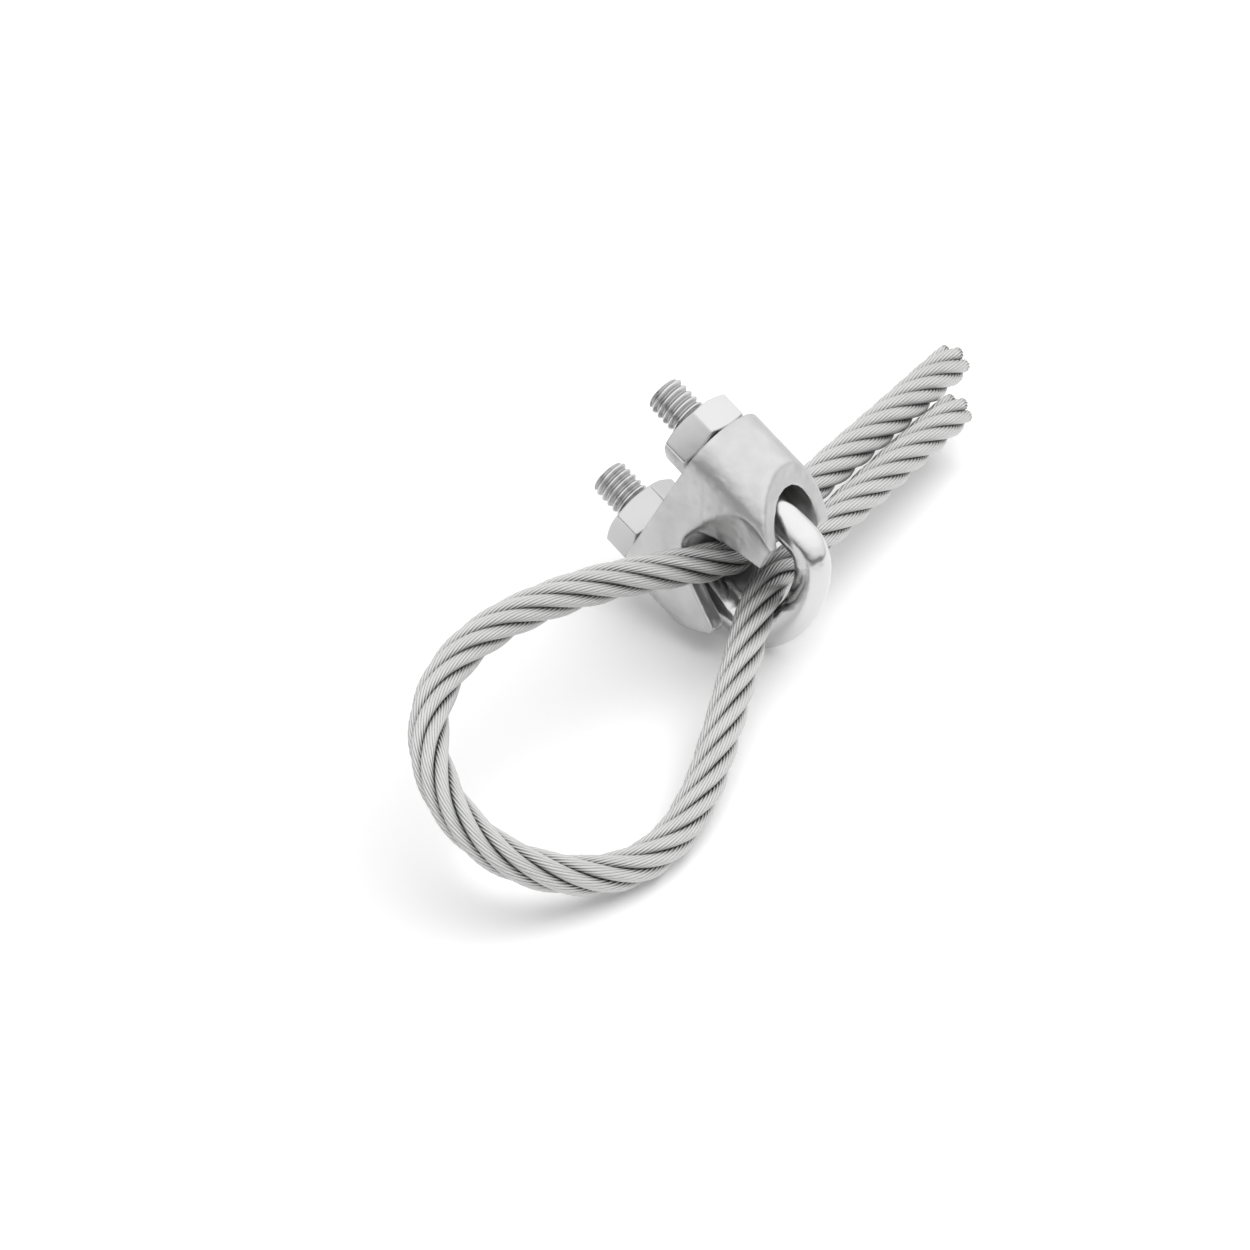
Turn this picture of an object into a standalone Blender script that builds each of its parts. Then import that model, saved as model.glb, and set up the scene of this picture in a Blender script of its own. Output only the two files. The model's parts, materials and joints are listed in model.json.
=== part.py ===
"""Wire rope clip gripping the two parts of a stranded steel rope behind a soft eye.

Metres, +Z up.  The clip lies on its side as it does on a bench.  Everything is laid out in
the clip's own axes and then tipped over by one empty, clip_frame:
  x  along the rope, from the eye towards the two free legs
  y  from bolt leg to bolt leg (leg 1 is at -y, the upper leg when the clip lies down)
  z  along the bolt legs, from the bow towards the nuts, with z = 0 on the nut seats
"""
import math

import bmesh
import bpy
from mathutils import Euler, Matrix, Vector

# Bolt
ROD_DIAMETER = 0.0071
THREAD_DIAMETER = 0.0080
LEG_SPACING = 0.0258
LEG_ABOVE_SEAT = 0.0156
THREAD_BELOW_SEAT = 0.0060
TIP_CHAMFER = 0.0005
STRAIGHT_BELOW_SEAT = 0.0245
BOW_DEPTH = 0.0076

# Nuts
NUT_ACROSS_FLATS = 0.0151
NUT_HEIGHT = 0.0067
NUT_CHAMFER_ANGLE = math.radians(25)
NUT_WASHER_FACE = 0.94
NUT_COUNTERSINK = 0.0006
NUT_TURNS = {"nut_1": math.radians(54), "nut_2": math.radians(16)}

# Saddle casting
SADDLE_HALF_WIDTH = 0.0099
SADDLE_HEIGHT = 0.0235
SADDLE_TOP_ROUND = 0.0014
WALL = 0.0034
ROOF = 0.0065
BRIDGE_WIDTH = 0.0104
RIM_TOP_DROP = 0.0126
RIM_SLOPE = math.radians(47.5)
GROOVE_DEPTH = 0.01155
GROOVE_HALF_LENGTH = 0.0010
MOUTH_RISE = 0.0037
MOUTH_HALF_WIDTH = 0.0090
MOUTH_DEPTH = 0.0100
MOUTH_NARROWING = 0.40
DISH_DEPTH = 0.0018
DISH_SHOULDER = (0.0122, -0.0110)
DISH_CHEEK = (0.0193, -0.0126)
DISH_FOOT = 0.0110

# Rope: the two parts are pinched between the bow and the saddle's groove
ROPE_DIAMETER = 0.0076
ROPE_SPACING = 0.015
ROPE_ROUTE_MM = [
    (90.0, 4.9, -1.8), (77.4, 3.5, -3.8), (64.9, 2.3, -5.8), (52.3, 1.3, -7.7),
    (39.8, 0.6, -9.5), (27.4, 0.2, -11.3), (15.0, 0.0, -13.3), (5.0, 0.0, -15.2),
    (-2.5, 0.0, -15.8), (-10.2, 0.0, -14.6), (-22.5, 0.3, -10.9), (-34.7, 1.1, -7.3),
    (-47.0, 2.2, -4.8), (-59.6, 3.3, -3.7), (-72.1, 4.2, -5.2), (-83.7, 4.7, -10.1),
    (-93.1, 4.7, -18.5), (-98.3, 4.6, -30.0), (-96.8, 4.5, -41.9), (-88.4, 4.4, -51.3),
    (-76.7, 4.1, -56.4), (-64.2, 3.4, -56.4), (-52.2, 2.4, -52.5), (-41.1, 1.6, -46.7),
    (-30.3, 0.7, -40.3), (-19.4, 0.2, -33.8), (-9.0, 0.0, -27.8), (0.0, 0.0, -24.0),
    (8.0, 0.0, -23.0), (18.0, 0.1, -21.3), (28.4, 0.3, -19.5), (41.0, 0.7, -17.6),
    (53.5, 1.4, -15.6), (65.9, 2.4, -13.7), (78.4, 3.6, -11.8),
]

# Fits and the lying pose
SEAT_GAP = 0.0003
HOLE_CLEARANCE = 0.0005
LIE_ROLL = math.radians(-62.1)
LIE_PITCH = math.radians(5.9)

# Facets
ARC_STEPS = 20
ROD_RINGS = 10
BOW_STEPS = 24
MOUTH_STEPS = 36
OVERCUT = 0.0010

HALF_SPACING = LEG_SPACING / 2
LEGS = {"nut_1": -HALF_SPACING, "nut_2": HALF_SPACING}
SADDLE_HALF_LENGTH = HALF_SPACING + SADDLE_HALF_WIDTH


def clear_scene():
    for old in list(bpy.data.objects):
        bpy.data.objects.remove(old, do_unlink=True)


def collection(name):
    group = bpy.data.collections.new(name)
    bpy.context.scene.collection.children.link(group)
    return group


def steel(name, shade, roughness):
    material = bpy.data.materials.new(name)
    material.use_nodes = True
    shader = material.node_tree.nodes["Principled BSDF"]
    shader.inputs["Base Color"].default_value = (shade, shade, shade, 1.0)
    shader.inputs["Metallic"].default_value = 1.0
    shader.inputs["Roughness"].default_value = roughness
    return material


def add_object(name, data, group):
    piece = bpy.data.objects.new(name, data)
    group.objects.link(piece)
    return piece


def mesh_from(bm, name):
    bmesh.ops.recalc_face_normals(bm, faces=bm.faces)
    mesh = bpy.data.meshes.new(name)
    bm.to_mesh(mesh)
    bm.free()
    return mesh


def as_mesh(piece, group):
    """Replace a curve, or a piece with modifiers, by its welded evaluated mesh."""
    bpy.context.view_layer.update()
    evaluated = piece.evaluated_get(bpy.context.evaluated_depsgraph_get())
    mesh = bpy.data.meshes.new_from_object(evaluated)
    bm = bmesh.new()
    bm.from_mesh(mesh)
    bmesh.ops.remove_doubles(bm, verts=bm.verts, dist=0.00001)
    bm.to_mesh(mesh)
    bm.free()
    name, place = piece.name, piece.matrix_world.copy()
    bpy.data.objects.remove(piece, do_unlink=True)
    solid = add_object(name, mesh, group)
    solid.matrix_world = place
    return solid


def smooth(piece, angle=math.radians(35)):
    piece.data.shade_smooth()
    piece.data.set_sharp_from_angle(angle=angle)


def plate(name, outline, low, high, group):
    """A flat closed outline in x and y, extruded between two heights."""
    curve = bpy.data.curves.new(name, "CURVE")
    curve.dimensions = "2D"
    curve.fill_mode = "BOTH"
    curve.extrude = (high - low) / 2
    spline = curve.splines.new("POLY")
    spline.points.add(len(outline) - 1)
    for point, (x, y) in zip(spline.points, outline):
        point.co = (x, y, 0.0, 1.0)
    spline.use_cyclic_u = True
    piece = add_object(name, curve, group)
    piece.location = (0.0, 0.0, (low + high) / 2)
    return as_mesh(piece, group)


def arc(centre_y, radius, start, end, steps):
    return [
        (radius * math.cos(start + (end - start) * i / steps),
         centre_y + radius * math.sin(start + (end - start) * i / steps))
        for i in range(steps + 1)
    ]


def boolean(piece, cutter, operation="DIFFERENCE"):
    cut = piece.modifiers.new(cutter.name, "BOOLEAN")
    cut.operation = operation
    cut.solver = "EXACT"
    cut.object = cutter
    cutter.hide_render = True
    cutter.display_type = "WIRE"


def turned(name, profile, steps, group):
    """Spin a closed profile of (radius, height) points about z."""
    bm = bmesh.new()
    verts = [bm.verts.new((radius, 0.0, height)) for radius, height in profile]
    for first, second in zip(verts, verts[1:] + verts[:1]):
        bm.edges.new((first, second))
    mesh = bpy.data.meshes.new(name)
    bm.to_mesh(mesh)
    bm.free()
    piece = add_object(name, mesh, group)
    spin = piece.modifiers.new("spin", "SCREW")
    spin.axis = "Z"
    spin.angle = math.tau
    spin.steps = steps
    spin.render_steps = steps
    spin.use_merge_vertices = True
    spin.merge_threshold = 0.00001
    return as_mesh(piece, group)


def build_u_bolt(group):
    """One bent rod: the thread stands proud of the plain rod, as a rolled thread does."""
    plain = 1.0
    thread = THREAD_DIAMETER / ROD_DIAMETER
    tip = (THREAD_DIAMETER - 2 * TIP_CHAMFER) / ROD_DIAMETER
    runout = (THREAD_DIAMETER - ROD_DIAMETER) / 2
    leg = [
        (LEG_ABOVE_SEAT, tip),
        (LEG_ABOVE_SEAT - TIP_CHAMFER, thread),
        (-THREAD_BELOW_SEAT, thread),
        (-THREAD_BELOW_SEAT - runout, plain),
    ]
    points = [(-HALF_SPACING, z, size) for z, size in leg]
    for i in range(BOW_STEPS + 1):
        turn = math.pi * i / BOW_STEPS
        y = -HALF_SPACING * math.cos(turn)
        z = -STRAIGHT_BELOW_SEAT - BOW_DEPTH * math.sin(turn)
        points.append((y, z, plain))
    points += [(HALF_SPACING, z, size) for z, size in reversed(leg)]
    curve = bpy.data.curves.new("u_bolt", "CURVE")
    curve.dimensions = "3D"
    curve.bevel_depth = ROD_DIAMETER / 2
    curve.bevel_resolution = ROD_RINGS
    curve.use_fill_caps = True
    spline = curve.splines.new("POLY")
    spline.points.add(len(points) - 1)
    for point, (y, z, size) in zip(spline.points, points):
        point.co = (0.0, y, z, 1.0)
        point.radius = size
    return add_object("u_bolt", curve, group)


def build_nut(name, group, cutters):
    """A hexagon trimmed by a turned ring, which gives the chamfers and the bore."""
    corner = NUT_ACROSS_FLATS / math.sqrt(3)
    bm = bmesh.new()
    bmesh.ops.create_cone(
        bm, cap_ends=True, segments=6, radius1=corner, radius2=corner, depth=NUT_HEIGHT,
        matrix=Matrix.Translation((0.0, 0.0, NUT_HEIGHT / 2)) @ Matrix.Rotation(math.pi / 2, 4, "Z"))
    nut = add_object(name, mesh_from(bm, name), group)
    bore = THREAD_DIAMETER / 2 + SEAT_GAP
    mouth = bore + NUT_COUNTERSINK
    face = NUT_ACROSS_FLATS / 2 * NUT_WASHER_FACE
    reach = corner + OVERCUT
    drop = (reach - face) * math.tan(NUT_CHAMFER_ANGLE)
    ring = turned(name + "_trim", [
        (mouth, NUT_HEIGHT), (face, NUT_HEIGHT), (reach, NUT_HEIGHT - drop), (reach, drop),
        (face, 0.0), (mouth, 0.0), (bore, NUT_COUNTERSINK), (bore, NUT_HEIGHT - NUT_COUNTERSINK),
    ], 48, cutters)
    bm = bmesh.new()
    bm.from_mesh(ring.data)
    bmesh.ops.recalc_face_normals(bm, faces=bm.faces)
    bm.to_mesh(ring.data)
    bm.free()
    boolean(nut, ring, "INTERSECT")
    nut = as_mesh(nut, group)
    smooth(nut, math.radians(25))
    return nut


def dish_point(crown, floor, share):
    """Outer edge of the dish, from over the rope (share 0) round to the saddle's foot (share 1)."""
    curve = [Vector((0.0, crown)), Vector(DISH_SHOULDER), Vector(DISH_CHEEK), Vector((DISH_FOOT, floor))]
    while len(curve) > 1:
        curve = [a.lerp(b, share) for a, b in zip(curve, curve[1:])]
    return curve[0]


def mouth_outline(x):
    """Edge of the rope passage at a distance x from the middle, as (y, z) points.

    It is a bell mouth whose crown drops to the groove that holds the rope.  The groove is
    laid askew: on each face the bell is narrower on one side, towards -y on the -x face, and
    there a dish runs round it, a ramp over the rope that ends in a step beside the arch.
    """
    floor = -SADDLE_HEIGHT - 5 * OVERCUT
    depth = min(max(SADDLE_HALF_WIDTH - abs(x), 0.0), DISH_DEPTH) / DISH_DEPTH
    bell = SADDLE_HALF_WIDTH - DISH_DEPTH
    outward = min(abs(x) / bell, 1.0)
    flare = min(max(abs(x) - GROOVE_HALF_LENGTH, 0.0) / (bell - GROOVE_HALF_LENGTH), 1.0)
    crown = -GROOVE_DEPTH + MOUTH_RISE * flare ** 1.5
    spread = MOUTH_HALF_WIDTH * math.sqrt((crown - floor) / MOUTH_DEPTH)
    outline = []
    for i in range(MOUTH_STEPS + 1):
        side = math.cos(math.pi * i / MOUTH_STEPS)
        y = spread * side
        z = crown - MOUTH_DEPTH * (y / MOUTH_HALF_WIDTH) ** 2
        if side * x > 0.0:
            y *= 1.0 - MOUTH_NARROWING * outward
            share = abs(2 * i / MOUTH_STEPS - 1)
            step = min(max((share - 0.35) / 0.25, 0.0), 1.0)
            blend = (1.0 - step) * depth + step * (1.0 - math.sqrt(1.0 - depth * depth))
            dish = dish_point(crown, floor, share)
            y = math.copysign(dish.x + (abs(y) - dish.x) * blend, side)
            z = dish.y + (z - dish.y) * blend
        outline.append((y, z))
    return outline


def build_mouth(cutters):
    """The rope passage as one loft along x, from outside one wall to outside the other."""
    cove = [SADDLE_HALF_WIDTH - DISH_DEPTH * math.sin(math.pi / 2 * i / 5) for i in range(6)]
    flare = [(SADDLE_HALF_WIDTH - DISH_DEPTH) * share for share in (0.8, 0.6, 0.4, 0.2)]
    half = [SADDLE_HALF_WIDTH + OVERCUT] + cove + flare
    stations = half + [0.0] + [-x for x in reversed(half)]
    bm = bmesh.new()
    rings = [[bm.verts.new((x, y, z)) for y, z in mouth_outline(x)] for x in stations]
    for ring, following in zip(rings, rings[1:]):
        count = len(ring)
        for i in range(count):
            k = (i + 1) % count
            bm.faces.new((ring[i], ring[k], following[k], following[i]))
    bm.faces.new(rings[0])
    bm.faces.new(list(reversed(rings[-1])))
    bmesh.ops.triangulate(bm, faces=bm.faces)
    return add_object("mouth", mesh_from(bm, "mouth"), cutters)


def build_saddle(group, cutters):
    """The casting: a hooded bridge with a roof, thin walls, a rope groove and two end arches."""
    half_turn = math.pi
    outline = arc(HALF_SPACING, SADDLE_HALF_WIDTH, 0.0, half_turn, ARC_STEPS)
    outline += arc(-HALF_SPACING, SADDLE_HALF_WIDTH, half_turn, 2 * half_turn, ARC_STEPS)
    saddle = plate("saddle", outline, -SADDLE_HEIGHT, 0.0, group)
    round_edge = saddle.modifiers.new("cast_round", "BEVEL")
    round_edge.width = SADDLE_TOP_ROUND
    round_edge.segments = 4
    round_edge.limit_method = "ANGLE"
    round_edge.angle_limit = math.radians(60)
    saddle = as_mesh(saddle, group)

    boolean(saddle, build_mouth(cutters))
    inner = SADDLE_HALF_WIDTH - WALL
    for side, name in ((1, "far"), (-1, "near")):
        cell = arc(HALF_SPACING, inner, 0.0, half_turn, ARC_STEPS)
        cell += [(-inner, BRIDGE_WIDTH / 2), (inner, BRIDGE_WIDTH / 2)]
        cell = [(x * side, y * side) for x, y in cell]
        hood = plate("hood_" + name, cell, -SADDLE_HEIGHT - OVERCUT, -ROOF, cutters)
        boolean(saddle, hood)

        bm = bmesh.new()
        bmesh.ops.create_cone(
            bm, cap_ends=True, segments=40, depth=ROOF + 4 * OVERCUT,
            radius1=THREAD_DIAMETER / 2 + HOLE_CLEARANCE, radius2=THREAD_DIAMETER / 2 + HOLE_CLEARANCE)
        hole = add_object("hole_" + name, mesh_from(bm, "hole_" + name), cutters)
        hole.location = (0.0, side * HALF_SPACING, -ROOF / 2)
        boolean(saddle, hole)

        bm = bmesh.new()
        bmesh.ops.create_cube(bm, size=1.0)
        block = 2 * SADDLE_HEIGHT
        bmesh.ops.scale(bm, vec=(block, block, 2 * block), verts=bm.verts)
        bmesh.ops.translate(bm, vec=(0.0, block / 2, 0.0), verts=bm.verts)
        end = add_object("end_" + name, mesh_from(bm, "end_" + name), cutters)
        tilt = Matrix.Rotation(RIM_SLOPE - math.pi / 2, 4, "X")
        place = Matrix.Translation((0.0, SADDLE_HALF_LENGTH, -RIM_TOP_DROP)) @ tilt
        if side < 0:
            place = Matrix.Rotation(math.pi, 4, "Z") @ place
        end.matrix_world = place
        boolean(saddle, end)
    bpy.context.view_layer.update()
    saddle = as_mesh(saddle, group)
    smooth(saddle)
    return saddle


def catmull_rom(points, t):
    """Point at parameter t on the smooth curve that passes through all the points."""
    i = min(int(t), len(points) - 2)
    u = t - i
    before = points[max(i - 1, 0)]
    start = points[i]
    end = points[i + 1]
    after = points[min(i + 2, len(points) - 1)]
    return 0.5 * (
        2 * start + (end - before) * u
        + (2 * before - 5 * start + 4 * end - after) * u * u
        + (3 * start - before - 3 * end + after) * u ** 3)


def build_rope(group):
    """The rope as a plain tube along its route: free leg, clamp, eye, clamp, free leg."""
    route = [Vector(point) * 0.001 for point in ROPE_ROUTE_MM]
    fine = [catmull_rom(route, i / 40) for i in range(40 * (len(route) - 1) + 1)]
    run = [0.0]
    for a, b in zip(fine, fine[1:]):
        run.append(run[-1] + (b - a).length)
    pieces = round(run[-1] / (0.45 * ROPE_SPACING))
    path = []
    k = 0
    for i in range(pieces + 1):
        target = run[-1] * i / pieces
        while k < len(run) - 2 and run[k + 1] < target:
            k += 1
        share = (target - run[k]) / (run[k + 1] - run[k])
        path.append(fine[k].lerp(fine[k + 1], min(max(share, 0.0), 1.0)))
    curve = bpy.data.curves.new("wire_rope", "CURVE")
    curve.dimensions = "3D"
    curve.bevel_depth = ROPE_DIAMETER / 2
    curve.bevel_resolution = 4
    curve.use_fill_caps = True
    curve.twist_mode = "MINIMUM"
    spline = curve.splines.new("POLY")
    spline.points.add(len(path) - 1)
    for point, place in zip(spline.points, path):
        point.co = (*place, 1.0)
    return add_object("wire_rope", curve, group)


def lowest_and_middle(pieces):
    """Middle in x and y, and lowest z, of the box round some pieces."""
    bpy.context.view_layer.update()
    graph = bpy.context.evaluated_depsgraph_get()
    places = []
    for piece in pieces:
        evaluated = piece.evaluated_get(graph)
        mesh = evaluated.to_mesh()
        places += [evaluated.matrix_world @ vert.co for vert in mesh.vertices]
        evaluated.to_mesh_clear()
    xs = [place.x for place in places]
    ys = [place.y for place in places]
    return (min(xs) + max(xs)) / 2, (min(ys) + max(ys)) / 2, min(place.z for place in places)


def main():
    clear_scene()
    parts = collection("wire_rope_clip")
    cutters = collection("cutters")

    u_bolt = build_u_bolt(parts)
    saddle = build_saddle(parts, cutters)
    nuts = {name: build_nut(name, parts, cutters) for name in LEGS}
    rope = build_rope(parts)

    u_bolt.data.materials.append(steel("bright_rod", 0.78, 0.16))
    saddle.data.materials.append(steel("cast_stainless", 0.66, 0.34))
    for nut in nuts.values():
        nut.data.materials.append(steel("turned_nut", 0.72, 0.22))
    rope.data.materials.append(steel("drawn_wire", 0.70, 0.28))

    clip_frame = add_object("clip_frame", None, parts)
    clip_frame.rotation_euler = Euler((LIE_ROLL, LIE_PITCH, 0.0), "XYZ")
    for piece in (u_bolt, saddle, rope):
        piece.parent = clip_frame
    for name, nut in nuts.items():
        nut.parent = clip_frame
        nut.location = (0.0, LEGS[name], SEAT_GAP)
        nut.rotation_euler = (0.0, 0.0, NUT_TURNS[name])

    x, y, z = lowest_and_middle([u_bolt, saddle, *nuts.values()])
    clip_frame.location = (-x, -y, -z)


main()
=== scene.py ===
import json
import math

import bmesh
import bpy
import numpy as np
from mathutils import Matrix, Vector


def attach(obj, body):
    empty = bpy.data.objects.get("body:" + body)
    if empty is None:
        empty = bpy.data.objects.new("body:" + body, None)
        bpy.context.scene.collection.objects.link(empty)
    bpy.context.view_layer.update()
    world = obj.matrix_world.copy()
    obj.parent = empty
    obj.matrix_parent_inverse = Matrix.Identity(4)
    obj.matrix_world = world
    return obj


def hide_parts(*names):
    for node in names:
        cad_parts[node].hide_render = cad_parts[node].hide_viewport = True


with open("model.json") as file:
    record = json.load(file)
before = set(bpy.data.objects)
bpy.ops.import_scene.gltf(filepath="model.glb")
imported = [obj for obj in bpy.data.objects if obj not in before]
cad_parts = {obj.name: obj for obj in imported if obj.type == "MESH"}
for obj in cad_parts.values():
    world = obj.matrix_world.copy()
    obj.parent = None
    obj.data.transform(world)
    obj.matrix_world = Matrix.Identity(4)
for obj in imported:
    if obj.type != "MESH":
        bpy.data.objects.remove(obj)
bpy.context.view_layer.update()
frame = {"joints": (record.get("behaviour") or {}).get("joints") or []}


# The studio: a plain pale floor in a pale room, one broad soft lamp, and a camera a metre away
# with a long lens, which looks down on the clip from beside the rope's eye.  It is the stage,
# and no piece of the object.
view_heading = math.radians(51.07)
view_drop = math.radians(34.52)
view_roll = math.radians(-0.52)
camera_from_clip = Vector((-0.6600, -0.5170, 0.5451))
nearest_seen = 0.05
sensor_width_mm = 36.0
photo_width = 1250
focal_pixels = 5160
lamp_place = Vector((0.24, -0.24, 1.00))
lamp_width = 1.60
lamp_power = 13.2
room_light = 0.45
room_in_metal = 1.34
room_side_lift = 0.25
room_foot_shade = 0.05
room_top_shade = 1.0
room_shades = {0.12: 0.13, 0.28: 0.70, 0.60: 0.94}
floor_reach = 0.6
floor_middle = (0.30, 0.0, 0.0)
floor_shade = 0.90
floor_in_metal = 0.10
floor_glow = (0.15, 0.51)
floor_glow_run = (0.22, 0.50)

# The middle of the clip lies between the bolt's legs, on the saddle's top, where the nuts sit.
joints = {joint["name"]: joint for joint in frame["joints"]}
leg_1 = Vector(joints["nut_1_turn"]["pos_m"])
leg_2 = Vector(joints["nut_2_turn"]["pos_m"])
leg_axis = Vector(joints["saddle_slide"]["axis"]).normalized()
seat_gap = 0.0003
clip_origin = (leg_1 + leg_2) / 2 - leg_axis * seat_gap

camera_data = bpy.data.cameras.new("camera")
camera_data.sensor_fit = "HORIZONTAL"
camera_data.sensor_width = sensor_width_mm
camera_data.lens = focal_pixels / photo_width * sensor_width_mm
camera_data.clip_start = nearest_seen
camera = bpy.data.objects.new("camera", camera_data)
bpy.context.scene.collection.objects.link(camera)
camera.matrix_world = (
    Matrix.Translation(clip_origin + camera_from_clip)
    @ Matrix.Rotation(-view_heading, 4, "Z")
    @ Matrix.Rotation(math.pi / 2 - view_drop, 4, "X")
    @ Matrix.Rotation(view_roll, 4, "Z"))
bpy.context.scene.camera = camera
bpy.context.scene.view_settings.view_transform = "Standard"

# The lamp throws the soft shadow.  The metal mirrors the room, and not the lamp.
lamp_light = bpy.data.lights.new("overhead_lamp", "AREA")
lamp_light.shape = "DISK"
lamp_light.size = lamp_width
lamp_light.energy = lamp_power
lamp = bpy.data.objects.new("overhead_lamp", lamp_light)
lamp.location = lamp_place
lamp.rotation_euler = (-lamp_place).to_track_quat("-Z", "Y").to_euler()
lamp.visible_glossy = False
bpy.context.scene.collection.objects.link(lamp)


def grey(shade):
    return (shade, shade, shade, 1)


def feed(tree, socket, value):
    """Give a node's input a plain value, or link it to another node's output."""
    if isinstance(value, bpy.types.NodeSocket):
        tree.links.new(value, socket)
    else:
        socket.default_value = value


def math_node(tree, operation, *values):
    node = tree.nodes.new("ShaderNodeMath")
    node.operation = operation
    for socket, value in zip(node.inputs, values):
        feed(tree, socket, value)
    return node.outputs[0]


def map_range(tree, value, from_range=(0.0, 1.0), to_range=(0.0, 1.0)):
    """A value carried from one range to another, and held at its ends."""
    node = tree.nodes.new("ShaderNodeMapRange")
    feed(tree, node.inputs["Value"], value)
    feed(tree, node.inputs["From Min"], from_range[0])
    feed(tree, node.inputs["From Max"], from_range[1])
    feed(tree, node.inputs["To Min"], to_range[0])
    feed(tree, node.inputs["To Max"], to_range[1])
    return node.outputs["Result"]


# The room grows paler with height and towards one side.  The camera sees plain white instead.
world = bpy.data.worlds.new("studio")
bpy.context.scene.world = world
world.use_nodes = True
sky = world.node_tree
sky.nodes.clear()
rays = sky.nodes.new("ShaderNodeLightPath")
seen = math_node(sky, "MAXIMUM", rays.outputs["Is Camera Ray"], rays.outputs["Is Transmission Ray"])
direction = sky.nodes.new("ShaderNodeTexCoord")
split = sky.nodes.new("ShaderNodeSeparateXYZ")
sky.links.new(direction.outputs["Generated"], split.inputs[0])
side_lift = math_node(sky, "MULTIPLY", split.outputs["X"], room_side_lift)
side_lift.node.use_clamp = True
height = sky.nodes.new("ShaderNodeValToRGB")
feed(sky, height.inputs["Fac"], math_node(sky, "ADD", side_lift, split.outputs["Z"]))
stops = height.color_ramp.elements
stops[0].color = grey(room_foot_shade)
stops[-1].color = grey(room_top_shade)
for place, shade in room_shades.items():
    stops.new(place).color = grey(shade)
room = sky.nodes.new("ShaderNodeBackground")
level = map_range(sky, rays.outputs["Is Glossy Ray"], to_range=(room_light, room_in_metal))
sky.links.new(level, room.inputs["Strength"])
sky.links.new(height.outputs["Color"], room.inputs["Color"])
backdrop = sky.nodes.new("ShaderNodeBackground")
backdrop.inputs["Color"].default_value = grey(1.0)
choose = sky.nodes.new("ShaderNodeMixShader")
sky.links.new(seen, choose.inputs["Fac"])
sky.links.new(room.outputs[0], choose.inputs[1])
sky.links.new(backdrop.outputs[0], choose.inputs[2])
output = sky.nodes.new("ShaderNodeOutputWorld")
sky.links.new(choose.outputs[0], output.inputs["Surface"])

# The floor is lit a little more towards its edges, so that it runs into the white room.
floor_mesh = bpy.data.meshes.new("floor")
floor_bmesh = bmesh.new()
bmesh.ops.create_grid(floor_bmesh, x_segments=1, y_segments=1, size=floor_reach)
floor_bmesh.to_mesh(floor_mesh)
floor_bmesh.free()
floor = bpy.data.objects.new("floor", floor_mesh)
floor.location = floor_middle
bpy.context.scene.collection.objects.link(floor)
paint = bpy.data.materials.new("pale_floor")
paint.use_nodes = True
floor_tree = paint.node_tree
floor_tree.nodes.clear()
matt = floor_tree.nodes.new("ShaderNodeBsdfDiffuse")
matt.inputs["Color"].default_value = grey(floor_shade)
lift = floor_tree.nodes.new("ShaderNodeEmission")
lift.inputs["Color"].default_value = grey(1.0)
rays = floor_tree.nodes.new("ShaderNodeLightPath")
for_metal = math_node(floor_tree, "MULTIPLY", rays.outputs["Is Glossy Ray"], floor_in_metal)
spot = floor_tree.nodes.new("ShaderNodeNewGeometry")
distance = floor_tree.nodes.new("ShaderNodeVectorMath")
distance.operation = "LENGTH"
floor_tree.links.new(spot.outputs["Position"], distance.inputs[0])
fade = map_range(floor_tree, distance.outputs["Value"], floor_glow_run, floor_glow)
glow = math_node(floor_tree, "MULTIPLY_ADD", fade, rays.outputs["Is Camera Ray"], for_metal)
floor_tree.links.new(glow, lift.inputs["Strength"])
both = floor_tree.nodes.new("ShaderNodeAddShader")
floor_tree.links.new(matt.outputs[0], both.inputs[0])
floor_tree.links.new(lift.outputs[0], both.inputs[1])
output = floor_tree.nodes.new("ShaderNodeOutputMaterial")
floor_tree.links.new(both.outputs[0], output.inputs["Surface"])
floor_mesh.materials.append(paint)


# The wire rope: seven strands of drawn steel wire, six of them laid right-handed round the
# seventh, and cut square at both ends.  It runs through the saddle, round the soft eye and
# back, and the bolt's bow pinches its two parts together.
rope_diameter = 0.0076
outer_strands = 6
lay_length = 0.0510
strand_radius = rope_diameter / 6
strand_circle = rope_diameter / 3
wires_on_strand = 12
points_per_wire = 4
wire_lay = 0.0220
wire_radius = strand_radius / (1 + 1 / math.sin(math.pi / wires_on_strand))
wire_flank = math.radians(8)
eye_slack = 0.5 / outer_strands
eye_slack_run = (0.205, 0.275)
first_leg_end = (0.050, 0.070)
last_leg_start = (0.335, 0.355)
free_leg_swell = 0.05
cut_end_swell = 0.05
# Painted shade: the valleys between wires and the hidden core strand are darkened, and so is the
# rope where it is clamped.
wire_valley_painted_shade = 0.76
core_painted_shade = 0.3
clamp_painted_shade = 0.16
clamp_painted_shade_run = (0.008, 0.022)
cut_recess = 0.00015
cut_wire_sides = 8
# Each ring's last value is painted shade: the bottom of the recessed cut is darker.
cut_wire_rings = [(2.0, 0.95, 0.5), (0.25, 0.95, 0.95), (0.0, 0.75, 1.0)]
curve_steps = 60
rope_rings = 310
core_rings = 60
cord_points = 120
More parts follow.
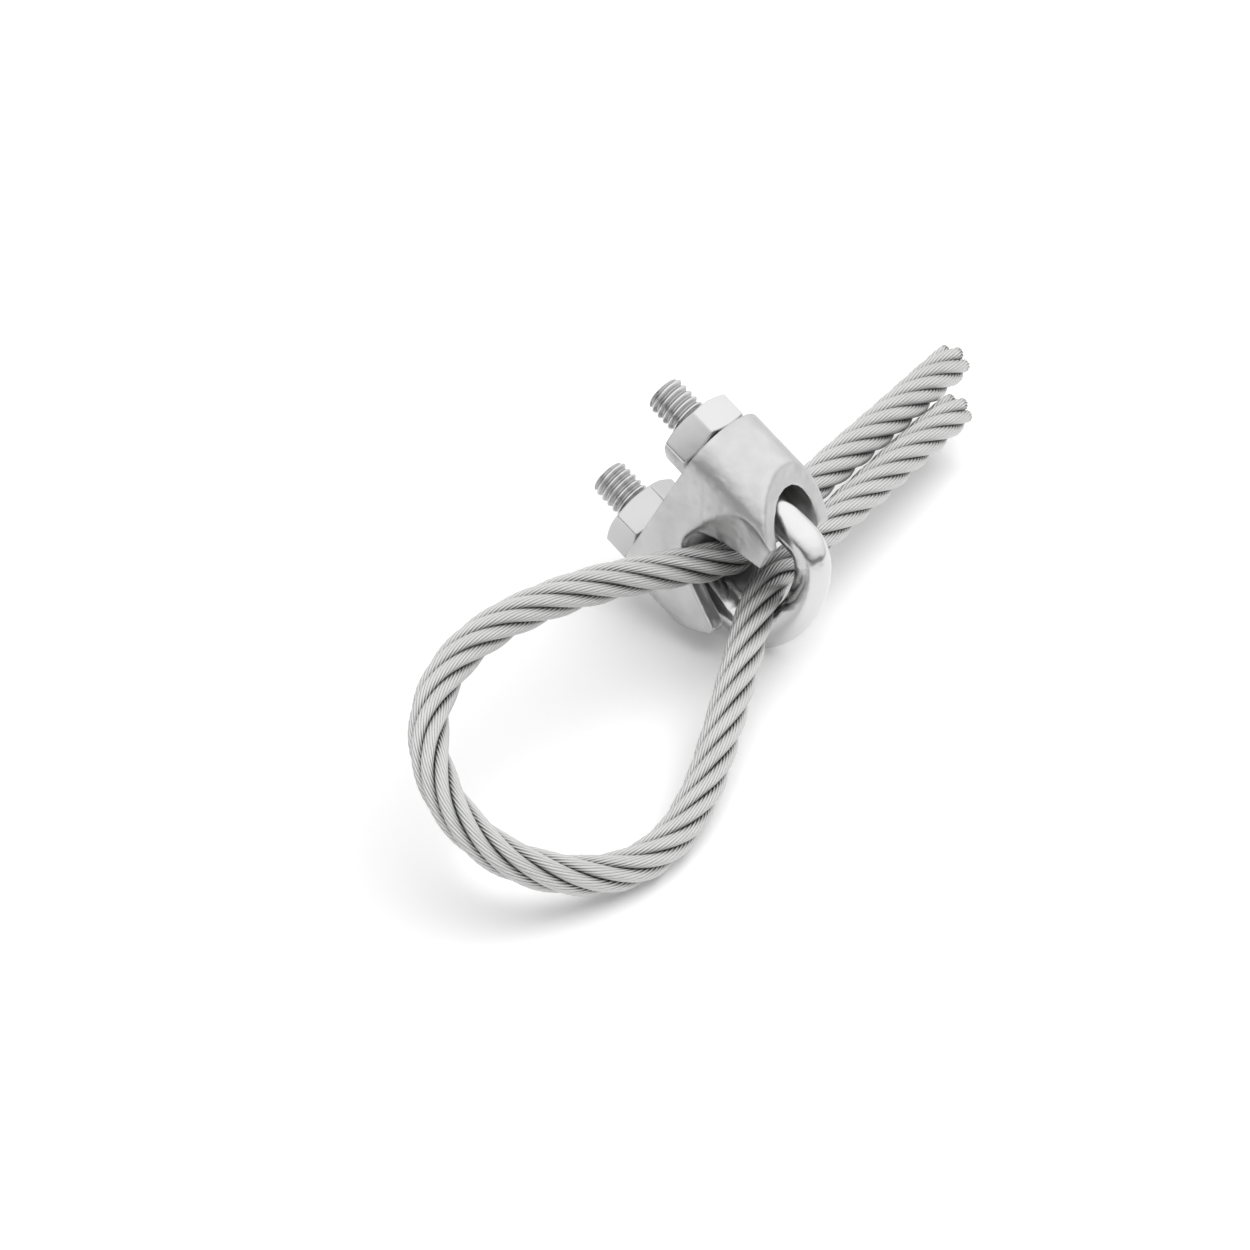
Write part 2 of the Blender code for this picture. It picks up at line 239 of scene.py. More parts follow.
rope_route = [
    (0.0900, 0.0049, -0.0018), (0.0774, 0.0035, -0.0038), (0.0649, 0.0023, -0.0058),
    (0.0523, 0.0013, -0.0077), (0.0398, 0.0006, -0.0095), (0.0274, 0.0002, -0.0113),
    (0.0150, 0.0, -0.0133), (0.0050, 0.0, -0.0152), (-0.0025, 0.0, -0.0158),
    (-0.0102, 0.0, -0.0146), (-0.0225, 0.0003, -0.0109), (-0.0347, 0.0011, -0.0073),
    (-0.0470, 0.0022, -0.0048), (-0.0596, 0.0033, -0.0037), (-0.0721, 0.0042, -0.0052),
    (-0.0837, 0.0047, -0.0101), (-0.0931, 0.0047, -0.0185), (-0.0983, 0.0046, -0.0300),
    (-0.0968, 0.0045, -0.0419), (-0.0884, 0.0044, -0.0513), (-0.0767, 0.0041, -0.0564),
    (-0.0642, 0.0034, -0.0564), (-0.0522, 0.0024, -0.0525), (-0.0411, 0.0016, -0.0467),
    (-0.0303, 0.0007, -0.0403), (-0.0194, 0.0002, -0.0338), (-0.0090, 0.0, -0.0278),
    (0.0, 0.0, -0.0240), (0.0080, 0.0, -0.0230), (0.0180, 0.0001, -0.0213),
    (0.0284, 0.0003, -0.0195), (0.0410, 0.0007, -0.0176), (0.0535, 0.0014, -0.0156),
    (0.0659, 0.0024, -0.0137), (0.0784, 0.0036, -0.0118),
]

# Every piece is drawn in the clip's own axes: x along the rope towards its cut ends, y from the
# upper bolt leg to the lower one, and z along the legs, with z = 0 on the saddle's top.
across_legs = (leg_2 - leg_1).normalized()
clip_turn = Matrix((across_legs.cross(leg_axis), across_legs, leg_axis)).transposed()
clip_place = Matrix.Translation(clip_origin) @ clip_turn.to_4x4()


def along_route(route, count):
    """Evenly spaced points on the smooth curve through the route, and their distances along it."""
    route = np.array(route)
    padded = np.vstack([route[:1], route, route[-1:]])
    fine = []
    for a, b, c, d in zip(padded, padded[1:], padded[2:], padded[3:]):
        u = np.linspace(0, 1, curve_steps, endpoint=False)[:, None]
        fine.append(0.5 * (2 * b + (c - a) * u + (2 * a - 5 * b + 4 * c - d) * u ** 2
                           + (3 * b - a - 3 * c + d) * u ** 3))
    fine = np.vstack(fine + [route[-1:]])
    run = np.concatenate([[0], np.cumsum(np.linalg.norm(np.diff(fine, axis=0), axis=1))])
    even = np.linspace(0, run[-1], count)
    return np.stack([np.interp(even, run, fine[:, axis]) for axis in range(3)], axis=1), even


def carried_frames(path):
    """A tangent and two cross directions at each point, carried along without twist."""
    tangents = np.gradient(path, axis=0)
    tangents /= np.linalg.norm(tangents, axis=1)[:, None]
    side = np.cross(tangents[0], (0.0, 0.0, 1.0))
    sides = [side / np.linalg.norm(side)]
    for tangent in tangents[1:]:
        side = sides[-1] - tangent * np.dot(sides[-1], tangent)
        sides.append(side / np.linalg.norm(side))
    sides = np.array(sides)
    return tangents, sides, np.cross(tangents, sides)


def spokes(side, up, angles):
    """Directions at some angles between a side and an up direction, or between rows of them."""
    return np.cos(angles)[..., None] * side + np.sin(angles)[..., None] * up


def smoothstep(low, high, value):
    """0 up to low, 1 from high on, and a soft rise between them."""
    share = np.clip((value - low) / (high - low), 0.0, 1.0)
    return share * share * (3 - 2 * share)


def tube_faces(count, around, start=0):
    """Faces of a closed tube of rings of points, with its two end caps."""
    ring = np.arange(around)
    following = (ring + 1) % around
    faces = []
    for i in range(count - 1):
        low, high = start + i * around, start + (i + 1) * around
        faces += np.stack([low + ring, low + following, high + following, high + ring], 1).tolist()
    faces.append((start + ring[::-1]).tolist())
    faces.append((start + (count - 1) * around + ring).tolist())
    return faces


def add_piece(name, vertices, faces):
    """A mesh piece, smooth apart from flat end caps, given in the clip's axes and put in place."""
    mesh = bpy.data.meshes.new(name)
    mesh.from_pydata(np.asarray(vertices).tolist(), [], faces)
    mesh.validate()
    mesh.transform(clip_place)
    for polygon in mesh.polygons:
        polygon.use_smooth = len(polygon.vertices) == 4
    piece = bpy.data.objects.new(name, mesh)
    bpy.context.scene.collection.objects.link(piece)
    return piece


def mark_reach(mesh, values):
    """Keep at each point, from 0 to 1, how well light reaches it, which sets its painted shade, and
    how well a polishing cloth reaches it.
    """
    marks = mesh.attributes.new("reach", "FLOAT", "POINT")
    marks.data.foreach_set("value", values.astype(np.float32))


def wire_flutes():
    """Angle and radius round one strand, where each outer wire has a crown and two flanks."""
    centre = strand_radius - wire_radius
    to_side = centre * math.sin(wire_flank)
    flank_radius = centre * math.cos(wire_flank) + math.sqrt(wire_radius ** 2 - to_side ** 2)
    valley = math.pi / wires_on_strand
    angles, radii = [], []
    for wire in range(wires_on_strand):
        middle = math.tau * wire / wires_on_strand
        angles += [middle - valley, middle - wire_flank, middle, middle + wire_flank]
        radii += [centre * math.cos(valley), flank_radius, strand_radius, flank_radius]
    return np.array(angles), np.array(radii)


def rope_fullness(run):
    """The rope is fuller where nothing squeezes it, and most of all at its first cut end."""
    first_leg = 1 - smoothstep(*first_leg_end, run)
    last_leg = smoothstep(*last_leg_start, run)
    cut_end = 1 - smoothstep(0.0, first_leg_end[0], run)
    return 1 + free_leg_swell * (first_leg + last_leg) + cut_end_swell * cut_end


def strand_points(path, run):
    """One strand as rings of points, its wires laid left-handed so that they run with the rope."""
    tangents, sides, ups = carried_frames(path)
    angles, radii = wire_flutes()
    turned = angles[None, :] - (math.tau * run / wire_lay)[:, None]
    outward = spokes(sides[:, None, :], ups[:, None, :], turned)
    points = path[:, None, :] + (radii[None, :] * rope_fullness(run)[:, None])[:, :, None] * outward
    points[0] += cut_recess * tangents[0]
    points[-1] -= cut_recess * tangents[-1]
    return points


def cut_wires(path, run):
    """The blunt wire ends of one strand at both cuts: one in the middle, then six, then twelve."""
    tangents, sides, ups = carried_frames(path)
    turns = math.tau * np.arange(cut_wire_sides) / cut_wire_sides
    reach = np.array([[ring_reach] * cut_wire_sides for depth, share, ring_reach in cut_wire_rings])
    ends = []
    for end, way in ((0, -1), (-1, 1)):
        outward, side, up = way * tangents[end], sides[end], way * ups[end]
        fullness = rope_fullness(run)[end]
        rim = wire_radius * fullness * spokes(side, up, turns)
        for layer, count in enumerate((1, wires_on_strand // 2, wires_on_strand)):
            circle = layer / 2 * (strand_radius - wire_radius) * fullness
            for wire in range(count):
                angle = way * math.tau * (wire / count - run[end] / wire_lay)
                middle = path[end] + circle * (math.cos(angle) * side + math.sin(angle) * up)
                rings = [middle - depth * cut_recess * outward + share * rim
                         for depth, share, ring_reach in cut_wire_rings]
                ends.append((np.stack(rings), reach))
    return ends


def build_rope():
    path, run = along_route(rope_route, rope_rings)
    tangents, sides, ups = carried_frames(path)
    fullness = rope_fullness(run)[:, None]
    slack = eye_slack * smoothstep(*eye_slack_run, run)
    # Painted shadow: the rope is darkened where the saddle and the bow close round it.
    clamp_shade = clamp_painted_shade * (1 - smoothstep(*clamp_painted_shade_run, abs(path[:, 0])))[:, None]
    tubes = []
    for number in range(outer_strands):
        turn = math.tau * (number / outer_strands + run / lay_length - slack)
        centres = path + strand_circle * fullness * spokes(sides, ups, turn)
        points = strand_points(centres, run)
        # Painted shade: the rope is darker the deeper a point lies between the strands and in the
        # wires' valleys.
        reach = np.linalg.norm(points - path[:, None, :], axis=2) / (rope_diameter / 2 * fullness)
        reach[:, ::points_per_wire] *= wire_valley_painted_shade
        tubes += [(points, reach - clamp_shade)] + cut_wires(centres, run)
    core, core_run = along_route(rope_route, core_rings)
    points = strand_points(core, core_run)
    tubes += [(points, np.full(points.shape[:2], core_painted_shade))] + cut_wires(core, core_run)
    faces = []
    start = 0
    for points, reach in tubes:
        faces += tube_faces(*reach.shape, start)
        start += reach.size
    vertices = np.vstack([points.reshape(-1, 3) for points, reach in tubes])
    rope = add_piece("stranded_rope", vertices, faces)
    mark_reach(rope.data, np.concatenate([reach.reshape(-1) for points, reach in tubes]))
    return rope


def empty_group(name, inputs, outputs):
    """A node group with its named sockets, and its input and output nodes."""
    group = bpy.data.node_groups.new(name, "ShaderNodeTree")
    for way, sockets in (("INPUT", inputs), ("OUTPUT", outputs)):
        for label, kind in sockets.items():
            group.interface.new_socket(label, in_out=way, socket_type="NodeSocket" + kind)
    return group, group.nodes.new("NodeGroupInput"), group.nodes.new("NodeGroupOutput")


def noise(tree, place, scale, detail):
    node = tree.nodes.new("ShaderNodeTexNoise")
    feed(tree, node.inputs["Vector"], place)
    feed(tree, node.inputs["Scale"], scale)
    feed(tree, node.inputs["Detail"], detail)
    return node.outputs["Fac"]


def scaled_color(tree, color, factor):
    node = tree.nodes.new("ShaderNodeVectorMath")
    node.operation = "SCALE"
    feed(tree, node.inputs[0], color)
    feed(tree, node.inputs["Scale"], factor)
    return node.outputs[0]


def reach_value(tree):
    """How well light and a cloth reach each place, as it is marked on the mesh, for painted shade
    and polish.
    """
    node = tree.nodes.new("ShaderNodeAttribute")
    node.attribute_name = "reach"
    return node.outputs["Fac"]


def metal_tone_group():
    """Shade and polish that drift over a metal, its fine grain, and slow ripples in its surface."""
    cloud_detail, cloud_middle = 3.0, 0.5
    grain_scale, grain_detail, grain_height = 2500.0, 2.0, 0.00002
    ripple_scale, ripple_detail, ripple_height = 300.0, 1.5, 0.001
    group, given, made = empty_group(
        "metal_tone",
        {"Color": "Color", "Roughness": "Float", "Scale": "Float", "Drift": "Float",
         "Grain": "Float", "Ripple": "Float"},
        {"Color": "Color", "Roughness": "Float", "Normal": "Vector"})
    place = group.nodes.new("ShaderNodeTexCoord").outputs["Object"]
    cloud = noise(group, place, given.outputs["Scale"], cloud_detail)
    centred = math_node(group, "SUBTRACT", cloud, cloud_middle)
    swing = math_node(group, "MULTIPLY", centred, given.outputs["Drift"])
    factor = math_node(group, "ADD", swing, 1.0)
    feed(group, made.inputs["Color"], scaled_color(group, given.outputs["Color"], factor))
    polish = math_node(group, "DIVIDE", given.outputs["Roughness"], factor)
    feed(group, made.inputs["Roughness"], polish)
    waves = group.nodes.new("ShaderNodeBump")
    feed(group, waves.inputs["Distance"], ripple_height)
    feed(group, waves.inputs["Strength"], given.outputs["Ripple"])
    feed(group, waves.inputs["Height"], noise(group, place, ripple_scale, ripple_detail))
    bump = group.nodes.new("ShaderNodeBump")
    feed(group, bump.inputs["Distance"], grain_height)
    feed(group, bump.inputs["Strength"], given.outputs["Grain"])
    feed(group, bump.inputs["Height"], noise(group, place, grain_scale, grain_detail))
    feed(group, bump.inputs["Normal"], waves.outputs["Normal"])
    feed(group, made.inputs["Normal"], bump.outputs["Normal"])
    return group


def painted_shade_group():
    """A colour darkened where light reaches poorly: painted shade, and on the saddle partly its
    darker cast skin.
    """
    group, given, made = empty_group(
        "painted_reach_shade",
        {"Color": "Color", "Dark At": "Float", "Unshaded At": "Float", "Darkest": "Float"},
        {"Color": "Color"})
    unshaded = map_range(
        group, reach_value(group), from_range=(given.outputs["Dark At"], given.outputs["Unshaded At"]),
        to_range=(given.outputs["Darkest"], 1.0))
    feed(group, made.inputs["Color"], scaled_color(group, given.outputs["Color"], unshaded))
    return group


metal_tone = metal_tone_group()
painted_reach_shade = painted_shade_group()


def add_group(material, group, values):
    """Place a node group in a material under the group's name and set its inputs."""
    node = material.node_tree.nodes.new("ShaderNodeGroup")
    node.name = group.name
    node.node_tree = group
    for label, value in values.items():
        node.inputs[label].default_value = value
    return node


def steel_material(name, shade, roughness, cloud_scale, drift, grain, ripple):
    """Bare steel with its own tone."""
    material = bpy.data.materials.new(name)
    material.use_nodes = True
    links = material.node_tree.links
    shader = material.node_tree.nodes["Principled BSDF"]
    shader.inputs["Metallic"].default_value = 1.0
    tone = add_group(material, metal_tone, {
        "Color": (*shade, 1), "Roughness": roughness, "Scale": cloud_scale, "Drift": drift,
        "Grain": grain, "Ripple": ripple})
    links.new(tone.outputs["Color"], shader.inputs["Base Color"])
    links.new(tone.outputs["Roughness"], shader.inputs["Roughness"])
    links.new(tone.outputs["Normal"], shader.inputs["Normal"])
    return material


def paint_shade_by_reach(material, dark_at, unshaded_at, darkest):
    """Paint shade into a steel's tone where light hardly reaches, on its way to the shader."""
    nodes, links = material.node_tree.nodes, material.node_tree.links
    shade = add_group(
        material, painted_reach_shade, {"Dark At": dark_at, "Unshaded At": unshaded_at, "Darkest": darkest})
    links.new(nodes["metal_tone"].outputs["Color"], shade.inputs["Color"])
    links.new(shade.outputs["Color"], nodes["Principled BSDF"].inputs["Base Color"])


rope = build_rope()
wire_steel = steel_material(
    "drawn_wire", shade=(0.66, 0.66, 0.655), roughness=0.45, cloud_scale=120, drift=0.12,
    grain=0.2, ripple=0.0)
# Painted shade between strands and wires, on the core and where the rope is clamped.
paint_shade_by_reach(wire_steel, dark_at=0.58, unshaded_at=0.90, darkest=0.30)
rope.data.materials.append(wire_steel)
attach(rope, "bolt")
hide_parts("wire_rope")
rope_places = [
    tuple(clip_place @ Vector(point)) for point in along_route(rope_route, cord_points)[0]]


# The bolt: one length of bright drawn rod bent to a bow.  Both ends are rolled with a right-hand
# thread, whose crests stand a little proud of the plain rod, and are chamfered at the tip.
rod_radius = 0.0071 / 2
thread_radius = 0.0080 / 2
thread_pitch = 0.0015
thread_depth = 0.00060
thread_crest = 0.14
thread_root = 0.16
thread_end = -0.0060
thread_fade = 0.0016
tip_height = 0.0156
tip_radius = 0.0034
tip_face_radius = 0.00335
tip_round = 0.00003
half_spacing = (leg_2 - leg_1).length / 2
straight_end = -0.0245
bow_depth = 0.0076
crest_reach = 0.9
rod_roughness = 0.20
thread_roughness = 0.34
sharp_thread = math.radians(70)
rod_sides = 72
steps_per_pitch = 24
plain_rings = 12
bow_rings = 72


def threaded_radius(height, turn):
    """Radius of a leg at a height and an angle: flat crests and straight flanks, then plain rod."""
    phase = height / thread_pitch - turn / math.tau
    from_crest = abs(phase - np.round(phase))
    flank = (1 - thread_crest - thread_root) / 2
    down_flank = np.clip((from_crest - thread_crest / 2) / flank, 0.0, 1.0)
    thread = thread_radius - thread_depth * down_flank
    cut = smoothstep(thread_end - thread_fade, thread_end, height)
    radius = rod_radius + (thread - rod_radius) * cut
    return np.minimum(radius, tip_radius + (tip_height - height))


def build_bolt():
    cut_to = thread_end - thread_fade
    leg = np.concatenate([np.arange(tip_height, cut_to, -thread_pitch / steps_per_pitch),
                          np.linspace(cut_to, straight_end, plain_rings, endpoint=False)])
    angles = math.tau * np.arange(rod_sides) / rod_sides
    forward = np.array([1.0, 0.0, 0.0])

    def leg_ring(way, radius, height):
        return np.stack([radius * np.cos(angles), way * (radius * np.sin(angles) + half_spacing),
                         np.full(rod_sides, height)], 1)

    upper = [leg_ring(-1, threaded_radius(height, -angles), height) for height in leg]
    lower = [leg_ring(1, threaded_radius(height, angles), height) for height in leg]
    bow = []
    for i in range(bow_rings + 1):
        turn = math.pi * i / bow_rings
        middle = np.array(
            [0.0, -half_spacing * math.cos(turn), straight_end - bow_depth * math.sin(turn)])
        along = np.array([0.0, half_spacing * math.sin(turn), -bow_depth * math.cos(turn)])
        across = np.cross(along / np.linalg.norm(along), forward)
        bow.append(middle + rod_radius * spokes(forward, across, angles))
    first_tip = leg_ring(-1, tip_face_radius, tip_height + tip_round)
    last_tip = leg_ring(1, tip_face_radius, tip_height + tip_round)
    rings = [first_tip] + upper + bow + lower[::-1] + [last_tip]
    bolt = add_piece("threaded_bolt", np.vstack(rings), tube_faces(len(rings), rod_sides))
    bolt.data.set_sharp_from_angle(angle=sharp_thread)
    reach = []
    for ring in rings:
        from_leg = np.hypot(ring[:, 0], abs(ring[:, 1]) - half_spacing)
        threaded = ring[0, 2] > thread_end
        depth = (thread_radius - from_leg) / thread_depth
        reach.append(crest_reach * (1 - depth) if threaded else np.ones(rod_sides))
    mark_reach(bolt.data, np.concatenate(reach))
    return bolt


bolt = build_bolt()
rod_steel = steel_material(
    "bright_rod", shade=(0.70, 0.70, 0.70), roughness=rod_roughness, cloud_scale=90, drift=0.15,
    grain=0.1, ripple=0.20)
# Painted shade down the thread's flanks and in its roots, so that only the crests stay pale.
paint_shade_by_reach(rod_steel, dark_at=0.10, unshaded_at=0.88, darkest=0.64)
rod_tree = rod_steel.node_tree
rolled = map_range(
    rod_tree, reach_value(rod_tree), from_range=(crest_reach, 1.0),
    to_range=(thread_roughness, rod_roughness))
rod_tree.links.new(rolled, rod_tree.nodes["metal_tone"].inputs["Roughness"])
bolt.data.materials.append(rod_steel)
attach(bolt, "bolt")
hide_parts("u_bolt")


# The saddle: an investment casting in stainless steel, hollow underneath, with a groove across
# its bridge for the rope, a dish beside each way in, and an open arch at each end.  It slides
# on the bolt's legs until the nuts press it onto the rope.
saddle_half_width = 0.0099
saddle_height = 0.0235
saddle_top_round = 0.0014
top_round_steps = 6
rounded_edge = math.radians(60)
wall = 0.0034
roof = 0.0065
bridge_half_width = 0.0052
rim_top_drop = 0.0126
rim_slope = math.radians(47.5)
groove_depth = 0.01155
groove_half_length = 0.0010
mouth_rise = 0.0037
mouth_rise_power = 1.5
mouth_half_width = 0.0090
mouth_depth = 0.0100
mouth_narrowing = 0.40
mouth_steps = 96
dish_depth = 0.0018
dish_shoulder = (0.0122, -0.0110)
dish_cheek = (0.0193, -0.0126)
dish_foot = 0.0110
dish_step_from = 0.35
dish_step_share = 0.25
leg_hole_radius = 0.0045
passage_half_width = 0.0082
passage_foot = -0.0152
passage_blur = 0.0015
passage_shade_and_skin = (0.0022, 0.0050)
arc_steps = 64
cove_steps = 12
flare_steps = 10
cast_voxel = 0.00026
edge_softening = 0.5
edge_rounds = 30
overcut = 0.0010
mouth_overcut = 5 * overcut


def arc(centre_y, radius, start, end, steps=arc_steps):
    turns = [start + (end - start) * i / steps for i in range(steps + 1)]
    return [(radius * math.cos(turn), centre_y + radius * math.sin(turn)) for turn in turns]


def loft(name, rings):
    """A closed mesh through rings of points that all have the same number of points."""
    mesh = bmesh.new()
    rows = [[mesh.verts.new(point) for point in ring] for ring in rings]
    for row, following in zip(rows, rows[1:]):
        for i in range(len(row)):
            k = (i + 1) % len(row)
            mesh.faces.new((row[i], row[k], following[k], following[i]))
    mesh.faces.new(rows[0])
    mesh.faces.new(rows[-1][::-1])
    bmesh.ops.triangulate(mesh, faces=mesh.faces)
    bmesh.ops.recalc_face_normals(mesh, faces=mesh.faces)
    data = bpy.data.meshes.new(name)
    mesh.to_mesh(data)
    mesh.free()
    piece = bpy.data.objects.new(name, data)
    bpy.context.scene.collection.objects.link(piece)
    return piece


def prism(name, outline, low, high):
    return loft(name, [[(x, y, low) for x, y in outline], [(x, y, high) for x, y in outline]])


def dish_edge(crown, foot, share):
    """Outer edge of the dish, from over the rope at share 0 to the saddle's foot at share 1."""
    points = [(0.0, crown), dish_shoulder, dish_cheek, (dish_foot, foot)]
    curve = [Vector(point) for point in points]
    while len(curve) > 1:
        curve = [p.lerp(q, share) for p, q in zip(curve, curve[1:])]
    return curve[0]


def mouth_ring(x):
    """Edge of the rope passage at a distance x from the middle of the saddle.

    On each face the passage is narrower on one side, with the dish's ramp and step round it.
    """
    foot = -saddle_height - mouth_overcut
    depth = min(max(saddle_half_width - abs(x), 0.0), dish_depth) / dish_depth
    bell = saddle_half_width - dish_depth
    outward = min(abs(x) / bell, 1.0)
    flare = min(max(abs(x) - groove_half_length, 0.0) / (bell - groove_half_length), 1.0)
    crown = -groove_depth + mouth_rise * flare ** mouth_rise_power
    spread = mouth_half_width * math.sqrt((crown - foot) / mouth_depth)
    ring = []
    for i in range(mouth_steps + 1):
        side = math.cos(math.pi * i / mouth_steps)
        y = spread * side
        z = crown - mouth_depth * (y / mouth_half_width) ** 2
        if side * x > 0.0:
            y *= 1.0 - mouth_narrowing * outward
            share = abs(2 * i / mouth_steps - 1)
            step = min(max((share - dish_step_from) / dish_step_share, 0.0), 1.0)
            blend = (1.0 - step) * depth + step * (1.0 - math.sqrt(1.0 - depth * depth))
            dish = dish_edge(crown, foot, share)
            y = math.copysign(dish.x + (abs(y) - dish.x) * blend, side)
            z = dish.y + (z - dish.y) * blend
        ring.append((x, y, z))
    return ring


def mark_passage(mesh):
    """Mark the rope's passage, where no polishing wheel reaches and the cast skin stays dark, and
    where the darkening is also painted shade deep inside the saddle.
    """
    places = np.empty(3 * len(mesh.vertices))
    mesh.vertices.foreach_get("co", places)
    x, y, z = places.reshape(-1, 3).T
    inward = saddle_half_width - np.hypot(x, np.maximum(abs(y) - half_spacing, 0.0))
    inside = smoothstep(*passage_shade_and_skin, inward)
    inside *= 1 - smoothstep(
        passage_half_width - passage_blur, passage_half_width + passage_blur, abs(y))
    inside *= smoothstep(passage_foot - passage_blur, passage_foot + passage_blur, z)
    inside *= z < -saddle_top_round
    mark_reach(mesh, 1 - inside)


def saddle_cutters():
    """The rope's passage, and for each end a hollow, a leg hole and the slope of the rim."""
    bell = saddle_half_width - dish_depth
    cove = [saddle_half_width - dish_depth * math.sin(math.pi / 2 * i / cove_steps)
            for i in range(cove_steps + 1)]
    flare = [bell * (1 - i / flare_steps) for i in range(1, flare_steps)]
    half = [saddle_half_width + overcut] + cove + flare
    cutters = [loft("mouth", [mouth_ring(x) for x in half + [0.0] + [-x for x in half[::-1]]])]
    inner = saddle_half_width - wall
    for side in (1, -1):
        cell = arc(half_spacing, inner, 0, math.pi)
        cell += [(-inner, bridge_half_width), (inner, bridge_half_width)]
        cell = [(x * side, y * side) for x, y in cell]
        cutters.append(prism("cell", cell, -saddle_height - overcut, -roof))
        hole = arc(side * half_spacing, leg_hole_radius, 0, math.tau)[:-1]
        cutters.append(prism("hole", hole, -roof - overcut, overcut))
        far = 2 * saddle_height
        end = prism("end", [(-far, 0), (far, 0), (far, far), (-far, far)], -far, far)
        tilt = Matrix.Rotation(rim_slope - math.pi / 2, 4, "X")
        place = Matrix.Translation((0, half_spacing + saddle_half_width, -rim_top_drop)) @ tilt
        end.data.transform(Matrix.Rotation(0 if side > 0 else math.pi, 4, "Z") @ place)
        cutters.append(end)
    return cutters


def build_saddle():
    outline = arc(half_spacing, saddle_half_width, 0, math.pi)
    outline += arc(-half_spacing, saddle_half_width, math.pi, math.tau)
    block = prism("cast_saddle", outline, -saddle_height, 0.0)
    round_edge = block.modifiers.new("top_round", "BEVEL")
    round_edge.width = saddle_top_round
    round_edge.segments = top_round_steps
    round_edge.limit_method = "ANGLE"
    round_edge.angle_limit = rounded_edge
    cutters = saddle_cutters()
    for cutter in cutters:
        cut = block.modifiers.new("cut", "BOOLEAN")
        cut.operation = "DIFFERENCE"
        cut.solver = "EXACT"
        cut.object = cutter
    skin = block.modifiers.new("cast_skin", "REMESH")
    skin.mode = "VOXEL"
    skin.voxel_size = cast_voxel
    skin.use_smooth_shade = True
    soften = block.modifiers.new("cast_edges", "SMOOTH")
    soften.factor = edge_softening
    soften.iterations = edge_rounds
    bpy.context.view_layer.update()
    graph = bpy.context.evaluated_depsgraph_get()
    mesh = bpy.data.meshes.new_from_object(block.evaluated_get(graph))
    mark_passage(mesh)
    mesh.transform(clip_place)
    mesh.shade_smooth()
    for guide in cutters + [block]:
        bpy.data.objects.remove(guide, do_unlink=True)
    saddle = bpy.data.objects.new("cast_saddle", mesh)
    bpy.context.scene.collection.objects.link(saddle)
    return saddle


saddle = build_saddle()
saddle.data.materials.clear()
cast_steel = steel_material(
    "cast_stainless", shade=(0.60, 0.60, 0.60), roughness=0.38, cloud_scale=180, drift=0.32,
    grain=0.5, ripple=0.28)
# Painted shade deep in the rope's passage, together with the passage's darker cast skin.
paint_shade_by_reach(cast_steel, dark_at=0.0, unshaded_at=1.0, darkest=0.35)
saddle.data.materials.append(cast_steel)
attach(saddle, "saddle")
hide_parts("saddle")


# The nuts: bright stainless hexagon bar, turned and chamfered on both ends, bored and tapped.
# They hold down the saddle's flat top, each stopped at its own angle when it came up tight.
nut_flats = 0.0151
nut_height = 0.0067
nut_chamfer = math.radians(25)
nut_face_share = 0.94
nut_face_radius = nut_flats / 2 * nut_face_share
nut_bore_radius = 0.00412
nut_countersink = 0.0007
nut_corner_round = 0.0006
nut_edge_round = 0.00025
nut_turns = {"nut_1": math.radians(54), "nut_2": math.radians(16)}
# Painted shade: both nuts are the same steel, and the second is given a darker shade to darken how
# it is lit.
nut_painted_shades = {"nut_1": 0.66, "nut_2": 0.57}
nut_legs = {"nut_1": -half_spacing, "nut_2": half_spacing}
sharp_nut = math.radians(30)
corner_points = 7
flat_points = 17
edge_steps = 3


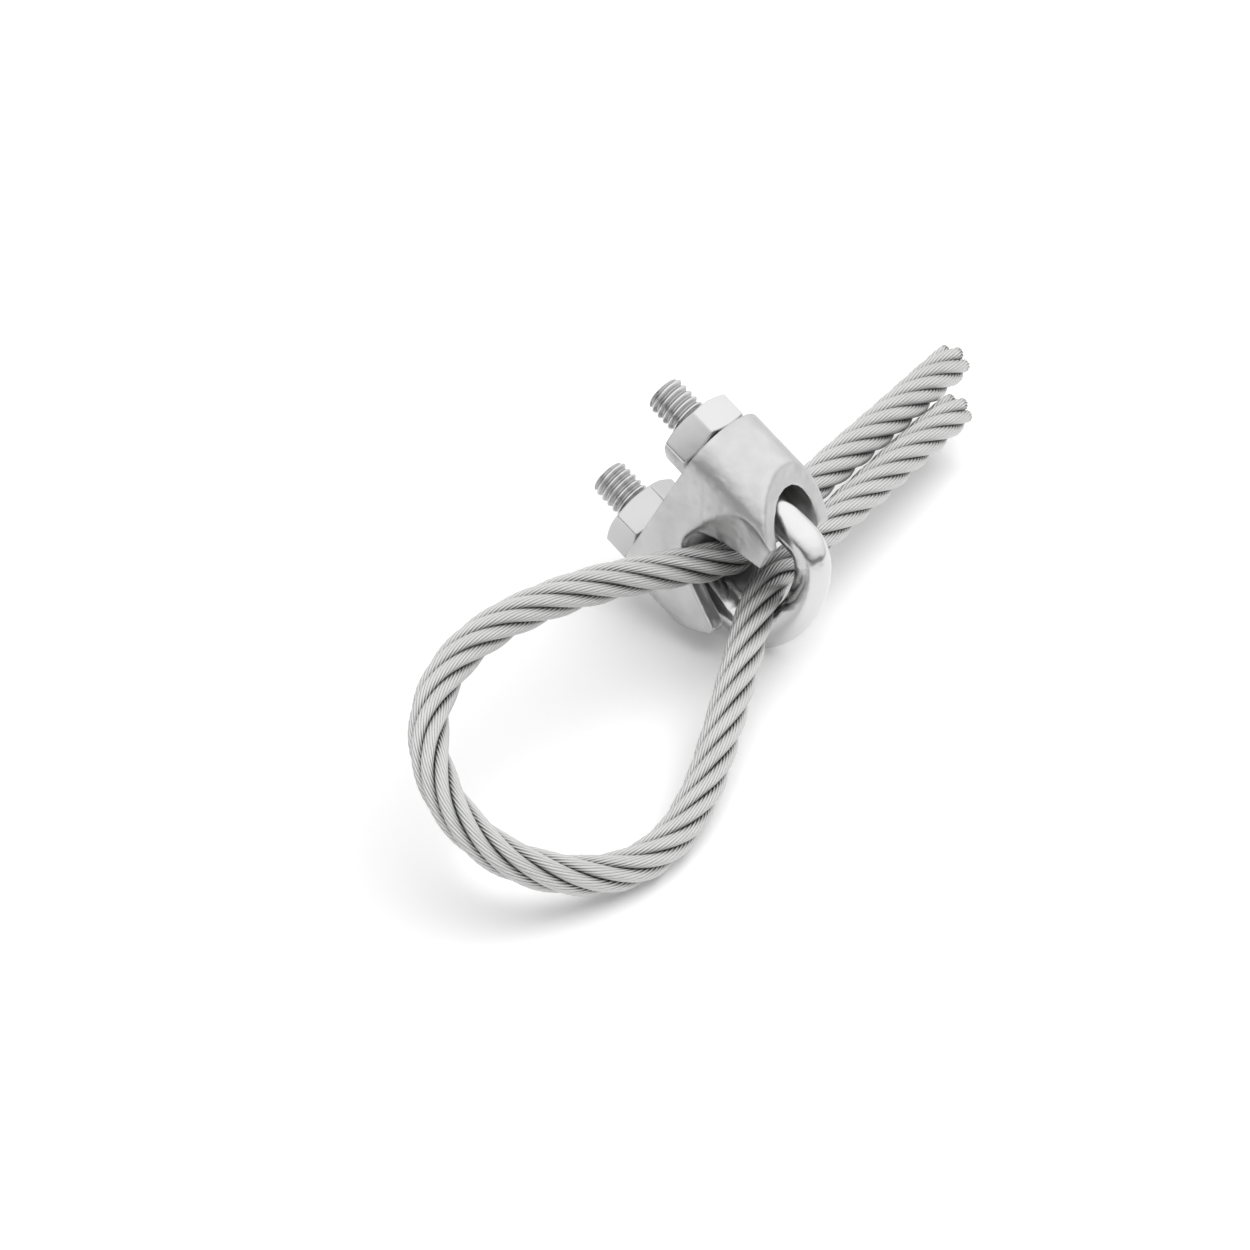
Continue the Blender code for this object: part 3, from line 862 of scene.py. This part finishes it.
def hexagon_outline():
    """Angle and distance from the axis along the hexagon's wall, each corner rounded."""
    middle = (nut_flats / 2 - nut_corner_round) / math.cos(math.pi / 6)
    bend = np.linspace(-math.pi / 6, math.pi / 6, corner_points)
    corner = middle + nut_corner_round * np.exp(1j * bend)
    next_start = corner[0] * np.exp(1j * math.pi / 3)
    share = np.arange(1, flat_points + 1) / (flat_points + 1)
    sixth = np.concatenate([corner, corner[-1] + share * (next_start - corner[-1])])
    turns = [np.angle(sixth) + math.pi / 3 * number for number in range(6)]
    return np.concatenate(turns), np.tile(np.abs(sixth), 6)


def build_nut(name):
    turns, wall_radius = hexagon_outline()
    slope = math.tan(nut_chamfer)
    drop = (wall_radius - nut_face_radius) * slope
    edge = nut_edge_round

    def ring(radius, height):
        angle = turns + nut_turns[name]
        return np.stack([radius * np.cos(angle), radius * np.sin(angle) + nut_legs[name],
                         height + seat_gap + np.zeros(len(turns))], 1)

    # Down one side of the nut's section: the face, the turned chamfer, and a soft edge to the wall.
    upper = [
        (nut_bore_radius + nut_countersink, 0.0),
        (nut_face_radius - edge, 0.0),
        (nut_face_radius + edge, edge * slope),
    ]
    for share in np.linspace(0.0, 1.0, edge_steps + 1):
        rest = (1.0 - share) ** 2
        upper.append((wall_radius - edge * rest, drop + edge * (share ** 2 - slope * rest)))
    rings = [ring(radius, nut_height - depth) for radius, depth in upper]
    rings += [ring(radius, depth) for radius, depth in upper[::-1]]
    bore = (nut_countersink, nut_height - nut_countersink)
    rings += [ring(nut_bore_radius, height) for height in bore]
    around = np.arange(len(turns))
    following = (around + 1) % len(turns)
    faces = []
    for i in range(len(rings)):
        here = i * len(turns)
        there = (i + 1) % len(rings) * len(turns)
        quads = [here + around, there + around, there + following, here + following]
        faces += np.stack(quads, 1).tolist()
    nut = add_piece("hexagon_" + name, np.vstack(rings), faces)
    nut.data.set_sharp_from_angle(angle=sharp_nut)
    return nut


for name, shade in nut_painted_shades.items():
    nut = build_nut(name)
    nut_steel = steel_material(
        "turned_" + name, shade=(shade, shade, shade), roughness=0.26, cloud_scale=90, drift=0.15,
        grain=0.2, ripple=0.04)
    nut.data.materials.append(nut_steel)
    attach(nut, name)
    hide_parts(name)
